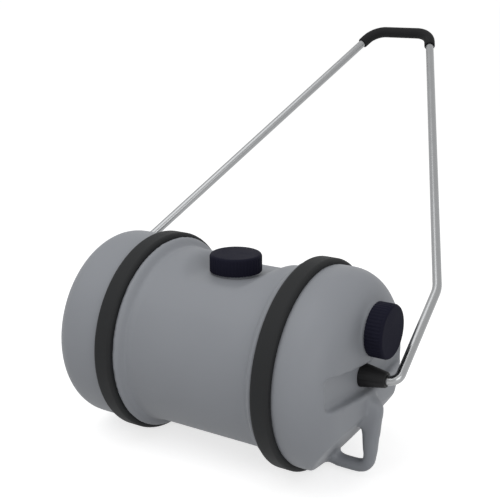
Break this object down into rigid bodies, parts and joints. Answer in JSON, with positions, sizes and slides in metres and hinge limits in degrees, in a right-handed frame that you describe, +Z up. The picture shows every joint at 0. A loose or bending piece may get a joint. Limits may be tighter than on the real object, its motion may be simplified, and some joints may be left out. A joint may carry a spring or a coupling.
{
  "type": "rolling water barrel",
  "caption": "Hollow moulded water drum on rubber tyre bands, with ribbed screw caps on top and end, a moulded grab handle and a pivoting steel bail with a hand grip.",
  "frame": {"origin": "on the floor under the middle of the drum, halfway between the tyre bands", "axes": "+X along the axle towards the outlet end, +Y the way the bail leans, +Z up"},
  "size_m": [0.628, 0.8506, 0.6916],
  "materials": {
    "drum_grey": "cool grey blow-moulded polyethylene, faint grain",
    "tyre_black": "smooth black rubber",
    "cap_navy": "dark blue-black moulded plastic",
    "seal_grey": "soft flat ring",
    "bush_black": "black moulded plastic",
    "bail_steel": "zinc plated tube",
    "grip_black": "black soft sleeve"
  },
  "bodies": {
    "drum": {"barrel": "drum_grey", "left_tyre": "tyre_black", "right_tyre": "tyre_black", "left_hub_bush": "bush_black", "right_hub_bush": "bush_black"},
    "bail": {"bail_tube": "bail_steel", "hand_grip": "grip_black"},
    "filler_ring": {"filler_cap_seal": "seal_grey"},
    "filler": {"filler_cap": "cap_navy"},
    "outlet_ring": {"outlet_cap_seal": "seal_grey"},
    "outlet": {"outlet_cap": "cap_navy"}
  },
  "joints": [
    {"name": "bail_pivot", "type": "hinge", "parent": "drum", "child": "bail", "pos_m": [0, 0, 0.18], "axis": [1, 0, 0], "continuous": true},
    {"name": "filler_lift", "type": "slide", "parent": "drum", "child": "filler_ring", "axis": [0, 0, 1], "range_m": [0, 0.0136]},
    {"name": "filler_turn", "type": "hinge", "parent": "filler_ring", "child": "filler", "pos_m": [0, 0, 0.33], "axis": [0, 0, 1], "range_deg": [0, 810]},
    {"name": "outlet_lift", "type": "slide", "parent": "drum", "child": "outlet_ring", "axis": [1, 0, 0], "range_m": [0, 0.0136]},
    {"name": "outlet_turn", "type": "hinge", "parent": "outlet_ring", "child": "outlet", "pos_m": [0.28, 0, 0.263], "axis": [1, 0, 0], "range_deg": [0, 810]}
  ],
  "couplings": [
    {"joint": "filler_lift", "follows": "filler_turn", "m_per_rad": 0.00095493},
    {"joint": "outlet_lift", "follows": "outlet_turn", "m_per_rad": 0.00095493}
  ]
}
